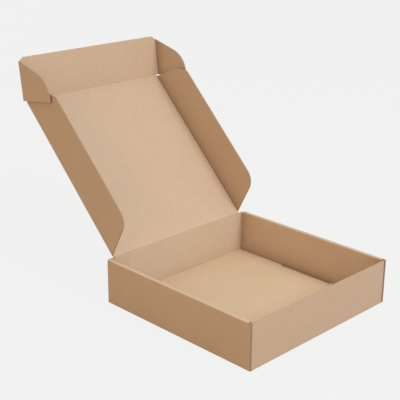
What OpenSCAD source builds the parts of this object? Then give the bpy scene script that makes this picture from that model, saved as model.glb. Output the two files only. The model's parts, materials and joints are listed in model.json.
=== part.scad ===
// Die-cut corrugated mailer box, folded from one sheet, with its lid standing open.
// Origin at the middle of the tray's underside, +X to the right, +Y to the back, +Z up. Millimetres.

/* [Board] */
// Thickness of the corrugated board
board = 2; // [1.4:0.1:3]
// Gap between layers of board that lie face to face
layer_gap = 0.25; // [0.1:0.05:0.5]
// Gap along a crease that moves
crease_gap = 0.5; // [0.4:0.05:0.8]
// Room round a panel that drops inside the tray when the box is shut
tuck_clearance = 0.6; // [0.4:0.1:1.5]

/* [Tray] */
// Outside width of the tray
tray_width = 320; // [240:1:420]
// Outside depth of the tray
tray_depth = 310; // [240:1:400]
// Height of the rolled side walls
side_height = 75.2; // [55:0.1:110]
// How far the front wall's edge lies below the side walls
front_drop = 0.6; // [0:0.1:3]

/* [Rolled side walls] */
// Set-back of the outer side panel from the front face
outer_front_setback = 0.8; // [0.5:0.1:3]
// Set-back of the outer side panel from the back face
outer_back_setback = 3; // [0.5:0.1:4]
// Set-back of the rolled-over panel from the front face
roll_front_setback = 9; // [7:0.5:16]
// Set-back of the rolled-over panel from the back face
roll_back_setback = 6; // [5.5:0.5:12]
// Length of the locking tab under each inner panel
tab_length = 102; // [40:1:140]
// Play at each end of the tab in its floor slot
tab_play = 1.5; // [0.5:0.1:4]
// Width of the floor slot that shows beside the tab
slot_room = 4; // [1:0.5:8]

/* [Corner flaps] */
// Outside radius of the bend from the front or back wall to a corner flap
corner_radius = 5; // [3.5:0.5:8]
// Length of a corner flap along the side wall
corner_flap_length = 62; // [30:1:90]
// How far a corner flap's free end slants
corner_flap_slant = 9; // [0:1:20]

/* [Lid] */
// Angle the lid stands open, counted from shut
lid_open = 135; // [60:1:180]
// How far the dust flaps stand inside the ears
dust_inset = 5.4; // [4:0.1:9]

/* [Dust flaps] */
// Distance from the hinge crease to the start of a dust flap
dust_start = 2.4; // [2.2:0.1:8]
// Distance from the tuck crease to the end of a dust flap
dust_stop = 2.2; // [2.2:0.1:8]
// Slant of the end near the hinge, along the lid
dust_near_slant = 23; // [5:1:40]
// Slant of the end near the tuck crease, along the lid
dust_far_slant = 28; // [27:1:50]
// Width of the cut corner near the tuck crease, along the free edge
dust_corner_width = 13; // [8:1:25]
// Height of the cut corner near the tuck crease
dust_corner_height = 15; // [8:1:25]
// Radius of the corner near the hinge
dust_near_radius = 13; // [3:1:20]
// Radius at both ends of the cut corner
dust_far_radius = 8; // [2:1:12]

/* [Tuck flap] */
// Fold of the tuck flap as the lid stands open, counted from flat
tuck_fold = 37.5; // [10:0.5:80]
// Width of the cut corners on the tuck flap's free edge
tuck_corner_width = 8; // [2:1:20]
// Height of the cut corners on the tuck flap's free edge
tuck_corner_height = 6; // [2:1:15]

/* [Ears] */
// How far an ear reaches from the tuck flap
ear_reach = 75; // [50:1:100]
// Slope of an ear's upper edge
ear_slope = 22.5; // [10:0.5:32]
// Radius of an ear's rounded end
ear_radius = 43; // [10:1:46]
// Height of an ear's lower edge over the tuck crease, at the tuck flap
ear_rise = 1; // [1:0.5:6]
// Extra height of an ear's lower edge at its rounded end
ear_lift = 0.5; // [0:0.5:8]

/* [Hidden] */
$fn = 64;

kraft_outside = "#C49E78";
kraft_inside = "#D0AE8A";

// A side wall is the outer panel, a corner flap and the inner panel
double_wall = 3 * board + 2 * layer_gap;
front_height = side_height - front_drop;
floor_half_x = tray_width / 2 - board;
floor_half_y = tray_depth / 2 - board;
inner_half_x = tray_width / 2 - double_wall;
flap_face_x = floor_half_x - layer_gap;
straight_half_x = flap_face_x - corner_radius;
layer_floor = board + layer_gap;
layer_top = side_height - board - layer_gap;

// The lid turns on the middle of the back wall's board, level with the side walls
hinge_y = tray_depth / 2 - board / 2;
hinge_z = side_height;
back_height = hinge_z - board / 2 - crease_gap;
crease_offset = board / 2 + crease_gap;
lid_length = tray_depth - 2 * board - tuck_clearance;
flap_depth = hinge_z - board - tuck_clearance;

// An ear turns on the middle of its board. A dust flap turns on its inner face, a layer's gap
// over the lid's, so that it can fold flat onto the lid
ear_axis_x = inner_half_x - tuck_clearance - board / 2;
dust_middle_x = ear_axis_x - dust_inset;
dust_turn = board / 2 + layer_gap;
lid_half_x = dust_middle_x - dust_turn;
tuck_half_x = ear_axis_x - crease_offset;
ear_top = flap_depth - tuck_corner_height;
cut = 2 * board;

function unit(v) = v / norm(v);

// What a round of the given radius takes off an outline's corner
module corner_waste(before, corner, after, radius) {
    to_before = unit(before - corner);
    to_after = unit(after - corner);
    cosine = to_before * to_after;
    reach = radius * sqrt((1 + cosine) / (1 - cosine));
    middle = unit(to_before + to_after);
    centre = corner + middle * radius * sqrt(2 / (1 - cosine));
    ends = [corner + reach * to_before, corner + reach * to_after];
    difference() {
        polygon([ends[0], ends[0] - reach * middle, ends[1] - reach * middle, ends[1]]);
        translate(centre) circle(radius);
    }
}

// A quarter disc: the section of a fold whose inside corner is sharp
module fold_quarter() {
    intersection() {
        circle(board);
        square(board);
    }
}

// Section of the fold from the floor to a wall, with the strip of floor beside it
module fold_section() {
    translate([-board, 0]) square(board);
    translate([0, board]) mirror([0, 1]) fold_quarter();
}

// Section of a wall that stands on its fold
module upright_section(top) {
    translate([0, board]) square([board, top - board]);
}

// Extrudes a section, drawn across and up, from front to back
module along_y(from, to) {
    translate([0, to, 0]) rotate([90, 0, 0]) linear_extrude(to - from) children();
}

// Extrudes a section, drawn back and up, from left to right
module along_x(from, to) {
    translate([from, 0, 0]) rotate([90, 0, 90]) linear_extrude(to - from) children();
}

// Section of a panel that turns on the middle of its board: the creased edge is a full round
module round_section(depth) {
    translate([0, -board / 2]) square([depth, board]);
    intersection() {
        circle(board / 2);
        translate([-board, -board / 2]) square([board, board]);
    }
}

// Section of a panel that turns on the inside corner of its fold, closed outside by a quarter disc
module corner_section(depth) {
    translate([dust_turn, -board / 2]) {
        square([depth - dust_turn, board]);
        mirror([1, 0]) fold_quarter();
    }
}

// A panel on a crease: the crease runs along X and the panel reaches along +Y.
// The first child is its section and the second is the outline it is cut to.
module creased_panel(from, to) {
    intersection() {
        along_x(from, to) children(0);
        linear_extrude(cut, center = true) children(1);
    }
}

// Floor with a slot for each inner panel's tab
module tray_floor() {
    slot_from = inner_half_x - slot_room;
    slot_to = inner_half_x + board + layer_gap;
    slot_half = tab_length / 2 + tab_play;
    difference() {
        translate([-floor_half_x, -floor_half_y, 0]) cube([2 * floor_half_x, 2 * floor_half_y, board]);
        for (side = [0, 1]) mirror([side, 0, 0])
            translate([slot_from, -slot_half, -board])
                cube([slot_to - slot_from, 2 * slot_half, 3 * board]);
    }
}

// Outer side panel, rolled over at the top and down again to the floor, with its tab in the slot
module rolled_side() {
    outer_from = -tray_depth / 2 + outer_front_setback;
    outer_to = tray_depth / 2 - outer_back_setback;
    roll_from = -tray_depth / 2 + roll_front_setback;
    roll_to = tray_depth / 2 - roll_back_setback;
    fold_z = side_height - board;
    along_y(outer_from, outer_to)
        translate([floor_half_x, 0]) {
            fold_section();
            upright_section(fold_z);
        }
    for (ends = [[outer_from, roll_from], [roll_to, outer_to]])
        along_y(ends[0], ends[1])
            translate([floor_half_x, 0]) upright_section(fold_z + board / 2);
    along_y(roll_from, roll_to) {
        translate([floor_half_x, 0]) upright_section(fold_z);
        translate([floor_half_x, fold_z]) fold_quarter();
        translate([inner_half_x + board, fold_z])
            square([double_wall - 2 * board, board]);
        translate([inner_half_x + board, fold_z]) mirror([1, 0]) fold_quarter();
        translate([inner_half_x, layer_floor]) square([board, fold_z - layer_floor]);
    }
    along_y(-tab_length / 2, tab_length / 2)
        translate([inner_half_x, layer_gap]) square([board, 2 * board]);
}

// Plan of a corner, seen from the middle of its bend: the wall's end, the bend and the flap
module corner_plan() {
    translate([-board, -corner_radius]) square(board);
    intersection() {
        difference() {
            circle(corner_radius);
            circle(corner_radius - board);
        }
        translate([0, -corner_radius]) square(corner_radius);
    }
    translate([corner_radius - board, 0]) square([board, corner_flap_length + cut]);
}

// Front or back wall, drawn as the front one, with its bends and the corner flaps beyond them
module end_wall(height) {
    bend_from = -corner_radius - cut;
    along_x(-floor_half_x, floor_half_x)
        translate([-floor_half_y, 0]) mirror([1, 0]) fold_section();
    along_x(-straight_half_x, straight_half_x)
        translate([-floor_half_y, 0]) mirror([1, 0]) {
            fold_section();
            upright_section(height);
        }
    for (side = [0, 1]) mirror([side, 0, 0])
        translate([straight_half_x, -tray_depth / 2 + corner_radius, 0])
            intersection() {
                linear_extrude(height + cut) corner_plan();
                along_x(-cut, corner_radius + cut)
                    polygon([
                        [bend_from, layer_floor],
                        [corner_flap_length, layer_floor],
                        [corner_flap_length - corner_flap_slant, layer_top],
                        [0, layer_top],
                        [0, height],
                        [bend_from, height]
                    ]);
            }
}

module tray() {
    color(kraft_outside) {
        tray_floor();
        for (side = [0, 1]) mirror([side, 0, 0]) rolled_side();
        end_wall(front_height);
        mirror([0, 1, 0]) end_wall(back_height);
    }
}

// Frames of the lid, the tuck flap, a dust flap and an ear, each with its fold axis on X
// and the panel reaching along +Y, but for the lid's and the tuck flap's, which share X with the tray
module at_lid() {
    translate([0, hinge_y, hinge_z]) rotate([180 - lid_open, 0, 0]) children();
}

module at_tuck() {
    at_lid() translate([0, lid_length, 0]) rotate([tuck_fold, 0, 0]) children();
}

module on_right_edge(axis_x) {
    translate([axis_x, 0, 0]) rotate([90, 0, 90]) children();
}

module lid_panel() {
    color(kraft_inside) at_lid()
        creased_panel(-lid_half_x, lid_half_x) {
            round_section(lid_length - crease_offset);
            translate([-lid_half_x, -board]) square([2 * lid_half_x, lid_length + board]);
        }
}

module tuck_flap() {
    shoulder_x = tuck_half_x - tuck_corner_width;
    color(kraft_inside) at_tuck()
        creased_panel(-tuck_half_x, tuck_half_x) {
            round_section(flap_depth);
            polygon([
                [-lid_half_x, -board],
                [lid_half_x, -board],
                [lid_half_x, board / 2],
                [tuck_half_x, board / 2],
                [tuck_half_x, ear_top],
                [shoulder_x, flap_depth],
                [-shoulder_x, flap_depth],
                [-tuck_half_x, ear_top],
                [-tuck_half_x, board / 2],
                [-lid_half_x, board / 2]
            ]);
        }
}

// Dust flap on the lid's right edge, with slanted ends and two rounded corners
module dust_flap() {
    near = dust_start;
    far = lid_length - dust_stop;
    heel = [near, 0];
    near_corner = [near + dust_near_slant, flap_depth];
    far_corner = [far - dust_far_slant, flap_depth];
    toe = [far, 0];
    cut_high = far_corner - [dust_corner_width, 0];
    cut_low = far_corner + (toe - far_corner) * dust_corner_height / flap_depth;
    color(kraft_outside) at_lid() on_right_edge(dust_middle_x)
        difference() {
            creased_panel(near, far) {
                corner_section(flap_depth);
                polygon([[near, -board], heel, near_corner, cut_high, cut_low, toe, [far, -board]]);
            }
            linear_extrude(cut, center = true) {
                corner_waste(heel, near_corner, cut_high, dust_near_radius);
                corner_waste(near_corner, cut_high, cut_low, dust_far_radius);
                corner_waste(cut_high, cut_low, toe, dust_far_radius);
            }
        }
}

// Ear on the tuck flap's right edge: a sloping upper edge that rounds into the end
module ear() {
    low = ear_rise;
    high = ear_top;
    root_low = [low, 0];
    root_high = [high, 0];
    tip_low = [low + ear_lift, ear_reach];
    tip_high = [high - ear_reach * tan(ear_slope), ear_reach];
    // The round goes no further than the ear's end
    end_radius = min(ear_radius, (tip_high[0] - tip_low[0]) / tan(45 - ear_slope / 2));
    color(kraft_outside) at_tuck() on_right_edge(ear_axis_x)
        difference() {
            creased_panel(low, high) {
                round_section(ear_reach);
                polygon([[low, -board], root_low, tip_low, tip_high, root_high, [high, -board]]);
            }
            linear_extrude(cut, center = true)
                corner_waste(root_high, tip_high, tip_low, end_radius);
        }
}

module left_dust_flap() {
    mirror([1, 0, 0]) dust_flap();
}

module right_dust_flap() {
    dust_flap();
}

module left_ear() {
    mirror([1, 0, 0]) ear();
}

module right_ear() {
    ear();
}

tray();
lid_panel();
tuck_flap();
left_dust_flap();
right_dust_flap();
left_ear();
right_ear();
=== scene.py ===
import json
import math
import bmesh
import bpy
from mathutils import Matrix, Vector


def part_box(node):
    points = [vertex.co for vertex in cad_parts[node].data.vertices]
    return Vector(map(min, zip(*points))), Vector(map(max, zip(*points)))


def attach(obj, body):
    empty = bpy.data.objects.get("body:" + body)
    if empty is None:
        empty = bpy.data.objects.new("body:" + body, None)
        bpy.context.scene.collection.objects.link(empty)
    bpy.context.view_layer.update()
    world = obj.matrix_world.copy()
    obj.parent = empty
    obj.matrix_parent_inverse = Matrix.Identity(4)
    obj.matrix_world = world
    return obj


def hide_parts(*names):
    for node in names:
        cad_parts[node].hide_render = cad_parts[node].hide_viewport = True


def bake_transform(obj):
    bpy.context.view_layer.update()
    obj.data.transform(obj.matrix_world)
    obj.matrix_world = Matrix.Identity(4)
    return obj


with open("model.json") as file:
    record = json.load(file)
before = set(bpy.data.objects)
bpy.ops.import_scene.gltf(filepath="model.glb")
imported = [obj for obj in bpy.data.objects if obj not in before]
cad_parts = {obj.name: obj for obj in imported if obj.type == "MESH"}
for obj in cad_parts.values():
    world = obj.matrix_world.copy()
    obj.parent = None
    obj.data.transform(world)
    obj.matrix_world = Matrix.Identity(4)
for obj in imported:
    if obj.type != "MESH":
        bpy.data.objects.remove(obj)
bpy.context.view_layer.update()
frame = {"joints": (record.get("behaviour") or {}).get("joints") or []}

mm = 0.001
quarterTurn = math.pi / 2
across = Vector((1, 0, 0))
level = Vector((0, 1, 0))
upright = Vector((0, 0, 1))

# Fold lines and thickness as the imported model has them
joints = {joint["name"]: joint for joint in frame["joints"]}


def foldLine(joint):
    return Vector(joints[joint]["pos_m"])


earLow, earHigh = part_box("right_ear")
board = earHigh.x - earLow.x
half = board / 2
trayLow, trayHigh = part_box("tray")
hinge = foldLine("lid_hinge")
tuckLine = foldLine("tuck_fold")
lidRun = (tuckLine - hinge).normalized()
lidFace = across.cross(lidRun)
lidLength = (tuckLine - hinge).length
tuckRun = Vector(joints["right_ear_fold"]["axis"])
tuckFace = across.cross(tuckRun)
earMiddle = foldLine("right_ear_fold").x
dustMiddle = foldLine("right_dust_fold").x + half
dustReach = (foldLine("right_dust_fold") - hinge).dot(lidFace)  # how far a dust flap's crease reaches
lidSide = dustMiddle - dustReach

sheet = {
    "liner": 0.35 * mm,       # paper on each side of the flutes
    "groove": 1.2 * mm,       # how far the flutes lie back from an edge cut along them
    "openDepth": 0.6 * mm,    # how far open flutes can be looked into
    "tightBend": 0.05 * mm,   # inside radius of a fold
    "foldSteps": 8,
    "cornerSteps": 12,        # steps in the turn of a rounded corner
    "creaseReach": 1.5 * mm,  # board that a crease takes up on each side of its line
    "layerGap": 0.25 * mm,    # air between two layers
    "smoothAngle": math.radians(35),
}
bend = half + sheet["tightBend"]  # radius of a fold at the middle of the board
innerSide = trayHigh.x - 3 * board - 2 * sheet["layerGap"]  # inner face of a rolled side wall

# The wavy paper between the two liners: troughs and crests as arcs with straight slopes between
flute = {
    "paper": 0.25 * mm,
    "flat": 0.1 * mm,         # level stretch at the bottom of a trough
    "radius": 0.5 * mm,
    "slope": math.radians(35),
    "steps": 3,
}
fluteHeight = board - 2 * sheet["liner"] - flute["paper"]
fluteRise = flute["radius"] * (1 - math.cos(flute["slope"]))
fluteSlant = (fluteHeight - 2 * fluteRise) / math.sin(flute["slope"])
fluteWave = 4 * flute["radius"] * math.sin(flute["slope"]) + 2 * fluteSlant * math.cos(flute["slope"])
flutePitch = flute["flat"] + fluteWave

# How closely places are told apart, limits are kept to and points are merged
slack = {"same": 0.01 * mm, "limit": 0.1 * mm, "merge": 0.002 * mm}


def near(a, b):
    return abs(a - b) < slack["same"]


def atMost(value, limit):
    return value < limit + slack["limit"]


def atLeast(value, limit):
    return value > limit - slack["limit"]


# Small helpers for modelling
def onlySelect(piece):
    bpy.ops.object.select_all(action="DESELECT")
    piece.select_set(True)
    bpy.context.view_layer.objects.active = piece


def startSheet(name, low, high, height=0.0):  # the sheet is left open in edit mode
    bpy.ops.object.select_all(action="DESELECT")
    middle = ((low[0] + high[0]) / 2, (low[1] + high[1]) / 2, height)
    bpy.ops.mesh.primitive_plane_add(size=1, location=middle)
    piece = bpy.context.object
    piece.name = name
    piece.data.name = name
    piece.scale = (high[0] - low[0], high[1] - low[1], 1)
    bpy.ops.object.transform_apply(location=True, rotation=True, scale=True)
    bpy.ops.object.mode_set(mode="EDIT")
    bpy.ops.mesh.select_mode(type="EDGE")
    return piece


def pickEdges(piece, test):
    bpy.ops.mesh.select_all(action="DESELECT")
    net = bmesh.from_edit_mesh(piece.data)
    for edge in net.edges:
        if all(test(vertex.co) for vertex in edge.verts):
            edge.select_set(True)
    bmesh.update_edit_mesh(piece.data)


def pickVertices(piece, test):
    bpy.ops.mesh.select_all(action="DESELECT")
    net = bmesh.from_edit_mesh(piece.data)
    for vertex in net.verts:
        vertex.select = test(vertex.co)
    bmesh.update_edit_mesh(piece.data)


def pickFaces(piece, test):
    bpy.ops.mesh.select_all(action="DESELECT")
    net = bmesh.from_edit_mesh(piece.data)
    for face in net.faces:
        if test(face):
            face.select_set(True)
    bmesh.update_edit_mesh(piece.data)


def run(move):
    bpy.ops.mesh.extrude_region_move(TRANSFORM_OT_translate={"value": move})


def fold(centre, axis, angle, steps=None):  # spin itself turns the other way round
    bpy.ops.mesh.spin(steps=steps or sheet["foldSteps"], angle=-angle, center=centre, axis=axis)


def cutLine(point, normal, drop=False):
    bpy.ops.mesh.bisect(plane_co=point, plane_no=normal, clear_outer=drop, threshold=slack["same"])


def slide(move):
    bpy.ops.transform.translate(value=move)


def applyModifier(piece, kind, **settings):
    modifier = piece.modifiers.new(kind.title(), kind)
    for name, value in settings.items():
        setattr(modifier, name, value)
    bpy.ops.object.modifier_apply(modifier=modifier.name)


def copyPiece(piece, name):
    onlySelect(piece)
    bpy.ops.object.duplicate()
    copy = bpy.context.object
    copy.name = name
    copy.data.name = name
    return copy


# A flat or folded sheet becomes board: thickness, and grooved cut edges
def thicken(piece, liner, edge, groove):
    bpy.ops.object.mode_set(mode="EDIT")
    bpy.ops.mesh.select_all(action="SELECT")
    bpy.ops.mesh.remove_doubles(threshold=slack["merge"])
    bpy.ops.mesh.normals_make_consistent(inside=False)
    bpy.ops.object.mode_set(mode="OBJECT")
    piece.data.materials.append(liner)
    piece.data.materials.append(edge)
    applyModifier(piece, "SOLIDIFY", thickness=board, offset=0, use_even_offset=True,
                  use_quality_normals=True, material_offset_rim=1)
    bpy.ops.object.mode_set(mode="EDIT")
    bpy.ops.mesh.select_mode(type="FACE")
    pickFaces(piece, lambda face: face.material_index == 1)
    bpy.ops.mesh.inset(thickness=sheet["liner"], depth=-groove, use_even_offset=True)
    bpy.ops.object.mode_set(mode="OBJECT")
    bpy.ops.object.shade_smooth_by_angle(angle=sheet["smoothAngle"])


def place(piece, origin, xAxis, yAxis, zAxis):
    turn = Matrix((xAxis, yAxis, zAxis)).transposed().to_4x4()
    piece.matrix_world = Matrix.Translation(origin) @ turn
    onlySelect(piece)
    bpy.ops.object.transform_apply(location=True, rotation=True, scale=True)


def standFor(piece, node):
    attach(piece, node)
    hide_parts(node)


# Shader sums are written as plain Python: a wire carries one socket of a node tree
class Wire:
    def __init__(self, tree, socket=None):
        self.tree = tree
        self.socket = socket

    def add(self, kind, settings, sockets, output=0):
        node = self.tree.nodes.new("ShaderNode" + kind)
        for name, value in settings.items():
            setattr(node, name, value)
        for name, value in sockets.items():
            if isinstance(value, Wire):
                self.tree.links.new(value.socket, node.inputs[name])
            elif node.inputs[name].type == "RGBA":
                node.inputs[name].default_value = (*value, 1)
            else:
                node.inputs[name].default_value = value
        return Wire(self.tree, node.outputs[output]) if node.outputs else node

    def math(self, operation, first, second=0.0):
        return self.add("Math", {"operation": operation}, {0: first, 1: second})

    def mixColours(self, share, first, second, blending="MIX"):  # colours sit in sockets 6 and 7
        settings = {"data_type": "RGBA", "blend_type": blending}
        return self.add("Mix", settings, {0: share, 6: first, 7: second}, 2)

    def mixVectors(self, share, first, second):  # and vectors in 4 and 5
        return self.add("Mix", {"data_type": "VECTOR"}, {0: share, 4: first, 5: second}, 1)

    def __add__(self, other):
        return self.math("ADD", self, other)

    def __radd__(self, other):
        return self.math("ADD", other, self)

    def __sub__(self, other):
        return self.math("SUBTRACT", self, other)

    def __rsub__(self, other):
        return self.math("SUBTRACT", other, self)

    def __mul__(self, other):
        return self.math("MULTIPLY", self, other)

    def __rmul__(self, other):
        return self.math("MULTIPLY", other, self)

    def __gt__(self, other):
        return self.math("GREATER_THAN", self, other)

    def __lt__(self, other):
        return self.math("LESS_THAN", self, other)


def emptyTree(owner):
    owner.use_nodes = True
    owner.node_tree.nodes.clear()
    return Wire(owner.node_tree)


# Kraft paper: cloudy shade, long fibres, a few specks, flutes showing faintly, painted shade in the inner
# corners, and painted light and shade face by face on the inner faces
paper = {
    "faceTones": ((0.532, 0.364, 0.229), (0.638, 0.436, 0.275)),  # dark and light
    "edgeTones": ((0.47, 0.32, 0.20), (0.565, 0.385, 0.242)),
    "middle": 0.5,  # noise lies around this, and so does the mix of the two tones
    "clouds": {"Scale": 16.0, "Detail": 3.0},
    "blotches": {"Scale": 110.0, "Detail": 4.0},
    "fibres": {"Scale": 1500.0, "Detail": 3.0},
    "longFibres": {"Scale": 420.0, "Detail": 2.0},
    "strand": (1, 0.16, 1),  # fibres are drawn out along the sheet
    "shade": {"clouds": 0.45, "blotches": 0.4, "fibres": 0.8, "longFibres": 0.6, "flutes": 0.03},
    "relief": {"fibres": 0.5, "longFibres": 0.5, "flutes": 0.25},
    "speckScale": 190.0,
    "speckSize": 0.07,
    "speckChoice": 0.72,  # a cell needs a higher draw than this to hold a speck
    "speckShade": 0.55,
    "speckCover": 0.55,
    "paintedFaceLight": {  # painted light and shade: each inner face made lighter or darker, as light falls on it
        "side": (0.93, 0.965, 1.025),
        "end": (1.0, 1.06, 1.11),
        "floor": (1.075, 1.095, 1.08),
        "flap": (0.89, 0.91, 0.945),
        "panel": (0.96, 0.97, 0.99),
    },
    "innerRoom": 0.3 * board,  # how near its plane a spot still counts as on an inner face
    "turnRoom": 0.05 * board,  # the same where the pattern turns up the end walls
    # Painted shade in the inner corners: its tint, its strength on each face and how far it spreads
    "paintedShadeTint": (0.42, 0.34, 0.28),
    "paintedShadeDepth": {"side": 0.66, "end": 0.2, "floor": 0.0, "flap": 0.66, "panel": 0.08},
    "paintedShadeReach": 13 * mm,
    "roughness": 0.74,
    "fibreRoughness": 0.2,
    "bump": 0.12,
    "bumpDepth": 0.1 * mm,
    "specular": 0.3,
    "sheen": 0.05,
}


# A spot measured from a panel's own origin, with Y along the panel
def panelSpot(wire, origin, grain):
    tilt = math.atan2(grain.z, grain.y)
    shift = Matrix.Rotation(-tilt, 3, "X") @ -origin
    spot = wire.add("TexCoord", {}, {}, "Object")
    return wire.add("Mapping", {}, {"Vector": spot, "Location": shift, "Rotation": (-tilt, 0, 0)})


# How far a spot lies inside each inner face, from the settings "within" or "beyond" a distance
def innerGaps(wire, spot, inside):
    gaps = {}
    for axis, (kind, at) in inside.items():
        value = wire.add("SeparateXYZ", {}, {0: spot}, axis)
        gaps[axis] = at - wire.math("ABSOLUTE", value) if kind == "within" else value - at
    return gaps


# Where a spot lies on each inner face, as masks
def innerFaces(gaps, faces):
    within = math.prod(gap > -paper["innerRoom"] for gap in gaps.values())
    return {face: within * (gaps[axis] < paper["innerRoom"]) for axis, (face, folds) in faces.items()}


# Painted shade: each inner face darkens towards the faces that it is folded against
def paintedCornerShade(wire, gaps, faces, masks):
    shade = 0.0
    for face, folds in faces.values():
        away = gaps[folds[0]]
        for axis in folds[1:]:
            away = wire.math("MINIMUM", gaps[axis], away)
        fade = wire.math("EXPONENT", away * (-1 / paper["paintedShadeReach"])) * masks[face]
        shade = wire.math("MAXIMUM", fade * paper["paintedShadeDepth"][face], shade)
    return shade


# The layers of the pattern, each swinging around zero
def paperLayers(wire, spot):
    strands = wire.add("Mapping", {}, {"Vector": spot, "Scale": paper["strand"]})
    layers = {}
    for name, where in (("clouds", spot), ("blotches", spot), ("fibres", strands), ("longFibres", strands)):
        layers[name] = wire.add("TexNoise", {}, {"Vector": where, **paper[name]}, "Fac") - paper["middle"]
    flow = wire.add("SeparateXYZ", {}, {0: spot}, "Y")
    layers["flutes"] = wire.math("SINE", flow * (2 * math.pi / flutePitch))
    return layers


def addUp(layers, strengths, start):
    return sum((layers[name] * strength for name, strength in strengths.items()), start)


def paperSpecks(wire, spot):
    cells = {"Vector": spot, "Scale": paper["speckScale"]}
    away = wire.add("TexVoronoi", {}, cells, "Distance")
    draw = wire.add("SeparateColor", {}, {0: wire.add("TexVoronoi", {}, cells, "Color")})
    return (away < paper["speckSize"]) * (draw > paper["speckChoice"])


def kraftMaterial(name, tones, origin, grain, inside=None, faces=None):
    material = bpy.data.materials.new(name)
    wire = emptyTree(material)
    dark, light = tones
    spot = panelSpot(wire, origin, grain)
    gaps = innerGaps(wire, spot, inside or {})
    if faces and "Y" in faces:  # on the front and back walls the sheet runs upwards
        turned = wire.add("Mapping", {}, {"Vector": spot, "Rotation": (-quarterTurn, 0, 0)})
        spot = wire.mixVectors(gaps["Y"] < paper["turnRoom"], spot, turned)
    layers = paperLayers(wire, spot)
    colour = wire.mixColours(addUp(layers, paper["shade"], paper["middle"]), dark, light)
    speckled = [channel * paper["speckShade"] for channel in dark]
    colour = wire.mixColours(paperSpecks(wire, spot) * paper["speckCover"], colour, speckled)
    if faces:
        masks = innerFaces(gaps, faces)
        # Painted light and shade: each inner face's colour scaled face by face
        for face, mask in masks.items():
            colour = wire.mixColours(mask, colour, paper["paintedFaceLight"][face], "MULTIPLY")
        # Painted shade, darkening each inner face towards the corners it is folded against
        paintedShade = paintedCornerShade(wire, gaps, faces, masks)
        colour = wire.mixColours(paintedShade, colour, paper["paintedShadeTint"], "MULTIPLY")
    rough = paper["roughness"] + layers["fibres"] * paper["fibreRoughness"]
    height = addUp(layers, paper["relief"], 0.0)
    bump = {"Strength": paper["bump"], "Distance": paper["bumpDepth"], "Height": height}
    shader = wire.add("BsdfPrincipled", {}, {
        "Base Color": colour,
        "Roughness": rough,
        "Normal": wire.add("Bump", {}, bump),
        "Specular IOR Level": paper["specular"],
        "Sheen Weight": paper["sheen"],
    })
    wire.add("OutputMaterial", {}, {"Surface": shader})
    return material


trayInside = {"X": ("within", innerSide), "Y": ("within", trayHigh.y - board), "Z": ("beyond", board)}
lidInside = {"X": ("within", dustMiddle - half), "Y": ("within", lidLength), "Z": ("beyond", half)}
tuckInside = {"X": ("within", earMiddle - half), "Y": ("beyond", 0), "Z": ("beyond", half)}
# The inner face across each axis, and the axes of the faces that its painted shade darkens it towards
trayFaces = {"X": ("side", "YZ"), "Y": ("end", "XZ"), "Z": ("floor", "XY")}
lidFaces = {"X": ("flap", "Z"), "Z": ("panel", "XY")}
trayKraft = kraftMaterial("trayKraft", paper["faceTones"], Vector(), level, trayInside, trayFaces)
lidKraft = kraftMaterial("lidKraft", paper["faceTones"], hinge, lidRun, lidInside, lidFaces)
tuckKraft = kraftMaterial("tuckKraft", paper["faceTones"], tuckLine, tuckRun, tuckInside, lidFaces)
cutEdge = kraftMaterial("cutEdge", paper["edgeTones"], Vector(), level)
print("kraft paper mixed")

# Tray: floor, front and back walls with corner flaps, rolled double side walls
trayFold = {
    "frontDrop": 0.6 * mm,   # the front wall ends below the rolls
    "outerFront": 0.8 * mm,  # the layers of a side wall end this far short of the end walls' faces
    "outerBack": 3 * mm,
    "rollFront": 5.6 * mm,
    "rollBack": 6 * mm,
    "tabLength": 102 * mm,
    "tabPlay": 1.5 * mm,     # room at each end of a tab in its slot
    "slotRoom": 4 * mm,      # how far a slot shows beside its tab
    "cornerRadius": 5 * mm,
    "flapLength": 62 * mm,   # corner flaps between the layers of a side wall
    "flapSlant": 9 * mm,
}


def foldSideWall(piece, edgeX, wallX, innerX):
    foldTop = half + bend
    rollLow = trayHigh.z - half - bend
    innerLow = board + sheet["layerGap"]
    innerBend = innerX + bend
    outerFront = trayLow.y + trayFold["outerFront"]
    outerTo = trayHigh.y - trayFold["outerBack"]
    rollFrom = trayLow.y + trayFold["rollFront"]
    rollTo = trayHigh.y - trayFold["rollBack"]
    floorFront = trayLow.y + board + sheet["tightBend"]
    tabHalf = trayFold["tabLength"] / 2

    def onTop(co):
        return near(co.z, rollLow) and near(co.x, wallX)

    # Outer layer, up from the floor
    pickEdges(piece, lambda co: near(co.x, edgeX) and atMost(co.y, outerTo))
    fold((edgeX, 0, foldTop), level, -quarterTurn)
    run((0, 0, rollLow - foldTop))
    pickVertices(piece, lambda co: not atMost(co.x, edgeX) and near(co.y, floorFront))
    slide((0, outerFront - floorFront, 0))
    for cutY in (rollFrom, rollTo):
        pickFaces(piece, lambda face: near(face.calc_center_median().x, wallX))
        cutLine((0, cutY, 0), level)
    # Plain ends in front of the roll and behind it
    for beside in (lambda co: atMost(co.y, rollFrom), lambda co: atLeast(co.y, rollTo)):
        pickEdges(piece, lambda co: onTop(co) and beside(co))
        run((0, 0, bend))
    # Over the top and down the inside
    pickEdges(piece, lambda co: onTop(co) and atLeast(co.y, rollFrom) and atMost(co.y, rollTo))
    fold((wallX - bend, 0, rollLow), level, -quarterTurn)
    run((innerBend - wallX + bend, 0, 0))
    fold((innerBend, 0, rollLow), level, -quarterTurn)
    run((0, 0, innerLow - rollLow))
    # Tab into the floor's slot
    for cutY in (-tabHalf, tabHalf):
        pickFaces(piece, lambda face: near(face.calc_center_median().x, innerX))
        cutLine((0, cutY, 0), level)
    pickEdges(piece, lambda co: near(co.x, innerX) and near(co.z, innerLow) and atMost(abs(co.y), tabHalf))
    run((0, 0, -board))


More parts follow.
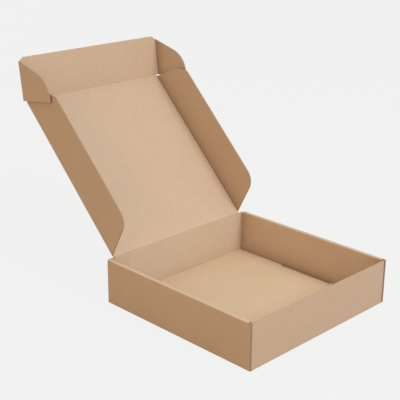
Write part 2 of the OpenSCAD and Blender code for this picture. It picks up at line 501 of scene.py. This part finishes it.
def foldEndWall(piece, side, height, straightX, flapTop):
    floorY = side * (trayHigh.y - board - sheet["tightBend"])
    wallY = floorY + side * bend
    radius = trayFold["cornerRadius"] - half
    turnX, turnY = straightX + radius, wallY - side * radius
    foldTop = half + bend
    flapLow = board + sheet["layerGap"]
    flapEnd = turnY - side * trayFold["flapLength"]
    # Up from the floor, with lines where the corner flap starts and ends
    pickEdges(piece, lambda co: near(co.y, floorY) and near(co.z, half))
    fold((0, floorY, foldTop), across, side * quarterTurn)
    pickEdges(piece, lambda co: near(co.y, wallY) and near(co.z, foldTop) and atMost(co.x, straightX))
    run((0, 0, flapLow - foldTop))
    run((0, 0, flapTop - flapLow))
    run((0, 0, height - flapTop))
    # Round the corner, then the flap with its slanted end
    pickEdges(piece, lambda co: near(co.x, straightX) and near(co.y, wallY) and atLeast(co.z, flapLow))
    fold((straightX, turnY, 0), upright, -side * quarterTurn)
    pickEdges(piece, lambda co: near(co.x, turnX) and near(co.y, turnY) and atMost(co.z, flapTop))
    run((0, flapEnd - turnY, 0))
    pickVertices(piece, lambda co: near(co.y, flapEnd) and near(co.z, flapTop))
    slide((0, side * trayFold["flapSlant"], 0))


# The right half is folded and mirrored
def foldTray():
    gap = sheet["layerGap"]
    edgeX = trayHigh.x - board - sheet["tightBend"]
    edgeY = trayHigh.y - board - sheet["tightBend"]
    wallX = trayHigh.x - half
    innerX = innerSide + half
    straightX = trayHigh.x - board - gap - trayFold["cornerRadius"]
    slotFrom = innerSide - trayFold["slotRoom"]
    slotTo = innerSide + board + gap
    slotHalf = trayFold["tabLength"] / 2 + trayFold["tabPlay"]
    outerTo = trayHigh.y - trayFold["outerBack"]
    flapTop = trayHigh.z - board - gap
    piece = startSheet("trayBoard", (0, -edgeY), (edgeX, edgeY), half)
    for cutX in (slotFrom, straightX, slotTo):
        bpy.ops.mesh.select_all(action="SELECT")
        cutLine((cutX, 0, 0), across)
    for cutY in (-slotHalf, slotHalf, outerTo):
        bpy.ops.mesh.select_all(action="SELECT")
        cutLine((0, cutY, 0), level)
    pickFaces(piece, lambda face: slotFrom < face.calc_center_median().x < slotTo
              and abs(face.calc_center_median().y) < slotHalf)
    bpy.ops.mesh.delete(type="FACE")
    foldSideWall(piece, edgeX, wallX, innerX)
    foldEndWall(piece, -1, trayHigh.z - trayFold["frontDrop"], straightX, flapTop)
    foldEndWall(piece, 1, hinge.z - sheet["creaseReach"], straightX, flapTop)
    bpy.ops.object.mode_set(mode="OBJECT")
    applyModifier(piece, "MIRROR", use_axis=(True, False, False), merge_threshold=slack["same"])
    thicken(piece, trayKraft, cutEdge, sheet["groove"])
    standFor(piece, "tray")


foldTray()
print("tray folded")


# Flat boards of the tuck flap, dust flaps and ears are drawn with X along the sheet, Y along the flutes
def trim(point, along):  # keeps what lies to the left of the line
    bpy.ops.mesh.select_all(action="SELECT")
    ahead = along.normalized()
    cutLine((*point, 0), (ahead.y, -ahead.x, 0), drop=True)


def roundCorner(before, point, after, radius):
    inward, outward = (point - before).normalized(), (after - point).normalized()
    turn = inward.angle(outward)
    centre = point - inward * radius * math.tan(turn / 2) + Vector((-inward.y, inward.x)) * radius
    for number in range(1, sheet["cornerSteps"]):
        angle = turn * number / sheet["cornerSteps"]
        along = Matrix.Rotation(angle, 2) @ inward
        trim(centre + Vector((along.y, -along.x)) * radius, along)


# The outline goes round to the left, a corner and its radius at a time
def cutOutline(corners):
    points = [Vector(point) for point, radius in corners]
    for number, point in enumerate(points):
        after = points[(number + 1) % len(points)]
        radius = corners[number][1]
        trim(point, after - point)
        if radius:
            roundCorner(points[number - 1], point, after, radius)


# One wave is drawn and repeated, and the sheet is left open in edit mode
def fluteSheet(name, low, high):
    radius, slope, steps = flute["radius"], flute["slope"], flute["steps"]
    climb = Vector((math.cos(slope), 0, math.sin(slope))) * fluteSlant
    trough, crest = radius - fluteHeight / 2, fluteHeight / 2 - radius
    waveStart = low[0] + flute["flat"]
    waves = math.ceil((high[0] - low[0]) / flutePitch)
    piece = startSheet(name, low, (waveStart, high[1]), -fluteHeight / 2)
    pickEdges(piece, lambda co: near(co.x, waveStart))
    fold((waveStart, 0, trough), level, -slope, steps)
    run(climb)
    fold((waveStart + fluteWave / 2, 0, crest), level, 2 * slope, 2 * steps)
    run((climb.x, 0, -climb.z))
    fold((waveStart + fluteWave, 0, trough), level, -slope, steps)
    bpy.ops.object.mode_set(mode="OBJECT")
    applyModifier(piece, "ARRAY", count=waves, use_relative_offset=False, use_constant_offset=True,
                  constant_offset_displace=(flutePitch, 0, 0), use_merge_vertices=True,
                  merge_threshold=slack["merge"])
    bpy.ops.object.mode_set(mode="EDIT")
    return piece


# A flap with cut edges: two liners, and the wavy sheet showing between them
def cutFlap(name, low, high, corners, liner):
    wave = fluteSheet(name + "Flutes", low, high)
    cutOutline(corners)
    bpy.ops.object.mode_set(mode="OBJECT")
    wave.data.materials.append(cutEdge)
    applyModifier(wave, "SOLIDIFY", thickness=flute["paper"], offset=0)
    piece = startSheet(name, low, high)
    cutOutline(corners)
    bpy.ops.object.mode_set(mode="OBJECT")
    thicken(piece, liner, cutEdge, sheet["openDepth"])
    wave.select_set(True)
    bpy.ops.object.join()
    bpy.ops.object.shade_smooth_by_angle(angle=sheet["smoothAngle"])
    return piece


def cutLid():
    reach = sheet["creaseReach"]
    piece = startSheet("lidBoard", (-lidSide, reach), (lidSide, lidLength - reach))
    bpy.ops.object.mode_set(mode="OBJECT")
    thicken(piece, lidKraft, cutEdge, sheet["groove"])
    place(piece, hinge, across, lidRun, lidFace)
    standFor(piece, "lid_panel")


tuckCut = {"depth": 72.6 * mm, "cornerWidth": 8 * mm, "cornerHeight": 6 * mm}
tuckShoulder = tuckCut["depth"] - tuckCut["cornerHeight"]


def cutTuck():
    base, depth = sheet["creaseReach"], tuckCut["depth"]
    side = earMiddle - sheet["creaseReach"]
    width = side - tuckCut["cornerWidth"]
    corners = [((base, -side), 0), ((tuckShoulder, -side), 0), ((depth, -width), 0),
               ((depth, width), 0), ((tuckShoulder, side), 0), ((base, side), 0)]
    piece = cutFlap("tuckBoard", (base, -side), (depth, side), corners, tuckKraft)
    place(piece, tuckLine, tuckRun, across, -tuckFace)
    standFor(piece, "tuck_flap")


dustCut = {
    "start": 2.4 * mm,         # from the hinge's fold
    "stop": 2.2 * mm,          # before the tuck flap's fold
    "depth": 72.6 * mm,
    "nearSlant": 23 * mm,      # "near" is the end at the hinge
    "farSlant": 28 * mm,
    "cornerWidth": 13 * mm,    # the far corner is cut off
    "cornerHeight": 15 * mm,
    "nearRadius": 27 * mm,
    "farRadius": 8 * mm,
}
dustFirst, dustLast = dustCut["start"], lidLength - dustCut["stop"]


def cutDustFlaps():
    depth, shoulder = dustCut["depth"], dustCut["depth"] - dustCut["cornerHeight"]
    slant = dustCut["farSlant"] * shoulder / depth
    corners = [((dustFirst, 0), 0), ((dustLast, 0), 0),
               ((dustLast - slant, shoulder), dustCut["farRadius"]),
               ((dustLast - dustCut["farSlant"] - dustCut["cornerWidth"], depth), dustCut["farRadius"]),
               ((dustFirst + dustCut["nearSlant"], depth), dustCut["nearRadius"])]
    right = cutFlap("rightDustBoard", (dustFirst, dustReach), (dustLast, depth), corners, lidKraft)
    left = copyPiece(right, "leftDustBoard")
    for piece, node, side in ((right, "right_dust_flap", 1), (left, "left_dust_flap", -1)):
        place(piece, hinge + across * side * dustMiddle, lidRun, lidFace, across)
        standFor(piece, node)


earCut = {
    "low": 1 * mm,             # from the tuck flap's fold
    "lift": 0.5 * mm,          # the low edge rises this much towards the tip
    "reach": 75 * mm,
    "slope": math.radians(22.5),
    "radius": 43 * mm,
}


def cutEars():
    low, reach = earCut["low"], earCut["reach"]
    tip = tuckShoulder - reach * math.tan(earCut["slope"])
    corners = [((low, 0), 0), ((tuckShoulder, 0), 0), ((tip, reach), earCut["radius"]),
               ((low + earCut["lift"], reach), 0)]
    right = cutFlap("rightEarBoard", (low, sheet["creaseReach"]), (tuckShoulder, reach), corners, tuckKraft)
    left = copyPiece(right, "leftEarBoard")
    for piece, node, side in ((right, "right_ear", 1), (left, "left_ear", -1)):
        place(piece, tuckLine + across * side * earMiddle, tuckRun, tuckFace, across)
        standFor(piece, node)


cutLid()
cutTuck()
cutDustFlaps()
cutEars()
print("lid boards cut")

# How far to each side of a crease's line its turn would be spread; the strips are placed without it
creaseRoom = {"hinge": 0.9 * mm, "tuck": 1.0 * mm, "dust": 0.6 * mm, "ear": 0.45 * mm}


# Creases: a bent strip of board, set at its fold line in the rest pose
def creaseStrip(name, length, angle, reach, liner):
    tangent = bend * math.tan(angle / 2)
    straight = reach - tangent
    piece = startSheet(name, (-length / 2, -reach), (length / 2, -tangent))
    pickEdges(piece, lambda co: near(co.y, -tangent))
    fold((0, -tangent, bend), across, angle)
    run((0, straight * math.cos(angle), straight * math.sin(angle)))
    bpy.ops.object.mode_set(mode="OBJECT")
    thicken(piece, liner, cutEdge, sheet["groove"])
    return piece


def setCrease(piece, middle, parentRun, childRun, turnRoom):
    axis = parentRun.cross(childRun).normalized()
    place(piece, middle, axis, parentRun, axis.cross(parentRun))
    chord = (parentRun + childRun).normalized() * turnRoom
    middle - chord
    middle + chord
    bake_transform(piece)


def bendCreases():
    reach, wide = sheet["creaseReach"], 2 * lidSide
    strip = creaseStrip("hingeCrease", wide, upright.angle(lidRun), reach, lidKraft)
    setCrease(strip, hinge, upright, lidRun, creaseRoom["hinge"])
    strip = creaseStrip("tuckCrease", wide, lidRun.angle(tuckRun), reach, lidKraft)
    setCrease(strip, tuckLine, lidRun, tuckRun, creaseRoom["tuck"])
    rightDust = creaseStrip("rightDustCrease", dustLast - dustFirst, quarterTurn, dustReach, lidKraft)
    leftDust = copyPiece(rightDust, "leftDustCrease")
    dustCentre = hinge + lidRun * (dustFirst + dustLast) / 2
    low, high = earCut["low"], tuckShoulder
    rightEar = creaseStrip("rightEarCrease", high - low, quarterTurn, reach, tuckKraft)
    leftEar = copyPiece(rightEar, "leftEarCrease")
    earCentre = tuckLine + tuckRun * (low + high) / 2
    for side, word, dust, ear in ((1, "right", rightDust, rightEar), (-1, "left", leftDust, leftEar)):
        outward = across * side
        setCrease(dust, dustCentre + outward * dustMiddle, outward, lidFace,
                  creaseRoom["dust"])
        setCrease(ear, earCentre + outward * earMiddle, outward, tuckFace,
                  creaseRoom["ear"])


bendCreases()
print("creases bent")

# Camera at the photograph's viewing angle
view = {
    "azimuth": math.radians(-45.013),
    "elevation": math.radians(19.809),
    "roll": math.radians(0.419),
    "eye": Vector((-1029.86, -923.63, 672.19)) * mm,
    "focalPixels": 945.56,
    "photoPixels": 400,
    "sensor": 36,
}


def setCamera():
    azimuth, elevation, roll = view["azimuth"], view["elevation"], view["roll"]
    flat = math.cos(elevation)
    back = Vector((math.sin(azimuth) * flat, -math.cos(azimuth) * flat, math.sin(elevation)))
    right = upright.cross(back).normalized()
    up = back.cross(right)
    xAxis = right * math.cos(roll) + up * math.sin(roll)
    yAxis = -right * math.sin(roll) + up * math.cos(roll)
    data = bpy.data.cameras.new("camera")
    data.sensor_width = view["sensor"]
    data.lens = view["sensor"] * view["focalPixels"] / view["photoPixels"]
    camera = bpy.data.objects.new("camera", data)
    bpy.context.scene.collection.objects.link(camera)
    turn = Matrix((xAxis, yAxis, back)).transposed().to_4x4()
    camera.matrix_world = Matrix.Translation(view["eye"]) @ turn
    bpy.context.scene.camera = camera


# Soft lamps round the box, all turned to one spot above its floor, in watts of red, green and blue
lampAim = Vector((0, 0.1, 0.12))
lamps = {
    "front": {"at": (0.1, -1.75, 1.75), "size": 1.3, "light": (40.0, 45.0, 52.0)},
    "left": {"at": (-2.2, -0.3, 0.9), "size": 1.3, "light": (14.5, 10.8, 6.8)},
    "back": {"at": (0.2, 0.9, 2.2), "size": 1.3, "light": (2.6, 5.4, 5.9)},
    "rear": {"at": (0.3, 4.5, 0.9), "size": 1.5, "light": (42.0, 46.0, 51.0)},
}


def addLamp(name, at, size, light):
    data = bpy.data.lights.new(name + "Lamp", "AREA")
    data.size = size
    data.energy = max(light)
    data.color = [channel / max(light) for channel in light]
    lamp = bpy.data.objects.new(name + "Lamp", data)
    lamp.location = at
    lamp.visible_camera = False
    lamp.rotation_mode = "QUATERNION"
    lamp.rotation_quaternion = (Vector(at) - lampAim).to_track_quat("Z", "Y")
    bpy.context.scene.collection.objects.link(lamp)


# Pale ground and backdrop to look at, and a plain light all round the box
room = {
    "light": (0.535, 0.495, 0.465),
    "pale": (0.97, 0.97, 0.972),
    "backdrop": (0.89, 0.89, 0.892),  # as bright as the lit ground looks
    "floor": (0.29, 0.25, 0.215),
    "floorSize": 60,
    "shadow": 0.12,  # share of the ground's look that takes light and shadow
}


def seenRay(wire):
    seen = [wire.add("LightPath", {}, {}, output)
            for output in ("Is Camera Ray", "Is Glossy Ray", "Is Transmission Ray")]
    return wire.math("MAXIMUM", wire.math("MAXIMUM", seen[0], seen[1]), seen[2])


def layGround():
    bpy.ops.object.select_all(action="DESELECT")
    bpy.ops.mesh.primitive_plane_add(size=room["floorSize"], location=(0, 0, 0))
    ground = bpy.context.object
    ground.name = "ground"
    material = bpy.data.materials.new("groundPaper")
    wire = emptyTree(material)
    lit = wire.add("BsdfDiffuse", {}, {"Color": room["floor"]})
    pale = wire.add("Emission", {}, {"Color": room["pale"]})
    spot = wire.add("TexCoord", {}, {}, "Object")
    aside = [wire.math("ABSOLUTE", wire.add("SeparateXYZ", {}, {0: spot}, axis)) for axis in ("X", "Y")]
    # Under the tray, where the slots show it, the ground isn't pale
    clear = wire.math("MAXIMUM", aside[0] > trayHigh.x - board, aside[1] > trayHigh.y - board)
    share = seenRay(wire) * clear * (1 - room["shadow"])
    mixed = wire.add("MixShader", {}, {0: share, 1: lit, 2: pale})
    wire.add("OutputMaterial", {}, {"Surface": mixed})
    ground.data.materials.append(material)


def lightRoom():
    world = bpy.data.worlds.new("studio")
    wire = emptyTree(world)
    light = wire.add("Background", {}, {"Color": room["light"]})
    pale = wire.add("Background", {}, {"Color": room["backdrop"]})
    mixed = wire.add("MixShader", {}, {0: seenRay(wire), 1: light, 2: pale})
    wire.add("OutputWorld", {}, {"Surface": mixed})
    bpy.context.scene.world = world
    bpy.context.scene.view_settings.view_transform = "Standard"


setCamera()
layGround()
lightRoom()
for name, lamp in lamps.items():
    addLamp(name, **lamp)
print("studio set")
